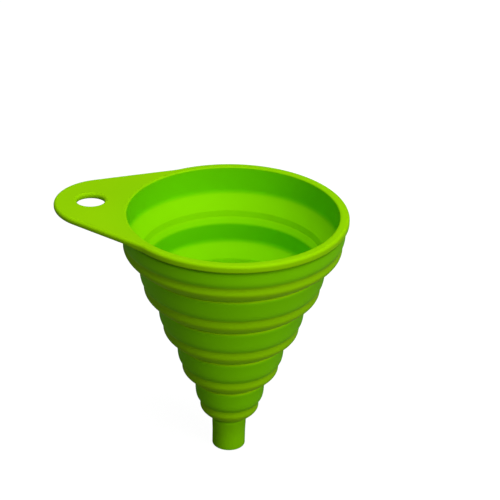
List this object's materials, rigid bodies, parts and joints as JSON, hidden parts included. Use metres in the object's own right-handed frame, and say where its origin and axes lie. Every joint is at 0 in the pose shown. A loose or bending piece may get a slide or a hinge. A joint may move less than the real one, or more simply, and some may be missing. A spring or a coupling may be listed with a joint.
{
  "type": "canning funnel",
  "caption": "Round stepped silicone funnel that folds flat ring by ring, with a flanged rim, a flat tab with a hanging hole and a short straight spout.",
  "frame": {"origin": "centre of the footprint, rim and tab together, at the height of the spout's end face; the funnel's axis is parallel to Z and passes through x = 11.7 mm, y = 0", "axes": "+Z from the spout's end face up to the rim, out of the mouth; -X towards the hanging tab; the plane y = 0 is the plane of symmetry"},
  "size_m": [0.1054, 0.082, 0.096],
  "materials": {
    "silicone": "satin"
  },
  "bodies": {
    "rim": {"rim_flange": "silicone", "hang_tab": "silicone", "wall_1": "silicone", "fold_1": "silicone"},
    "ring_2": {"wall_2": "silicone", "fold_2": "silicone"},
    "ring_3": {"wall_3": "silicone", "fold_3": "silicone"},
    "ring_4": {"wall_4": "silicone", "fold_4": "silicone"},
    "ring_5": {"wall_5": "silicone", "fold_5": "silicone"},
    "spout": {"spout": "silicone"}
  },
  "joints": [
    {"name": "fold_1_collapse", "type": "slide", "parent": "rim", "child": "ring_2", "axis": [0, 0, 1], "range_m": [0, 0.014]},
    {"name": "fold_2_collapse", "type": "slide", "parent": "ring_2", "child": "ring_3", "axis": [0, 0, 1], "range_m": [0, 0.014]},
    {"name": "fold_3_collapse", "type": "slide", "parent": "ring_3", "child": "ring_4", "axis": [0, 0, 1], "range_m": [0, 0.014]},
    {"name": "fold_4_collapse", "type": "slide", "parent": "ring_4", "child": "ring_5", "axis": [0, 0, 1], "range_m": [0, 0.014]},
    {"name": "fold_5_collapse", "type": "slide", "parent": "ring_5", "child": "spout", "axis": [0, 0, 1], "range_m": [0, 0.014]}
  ]
}
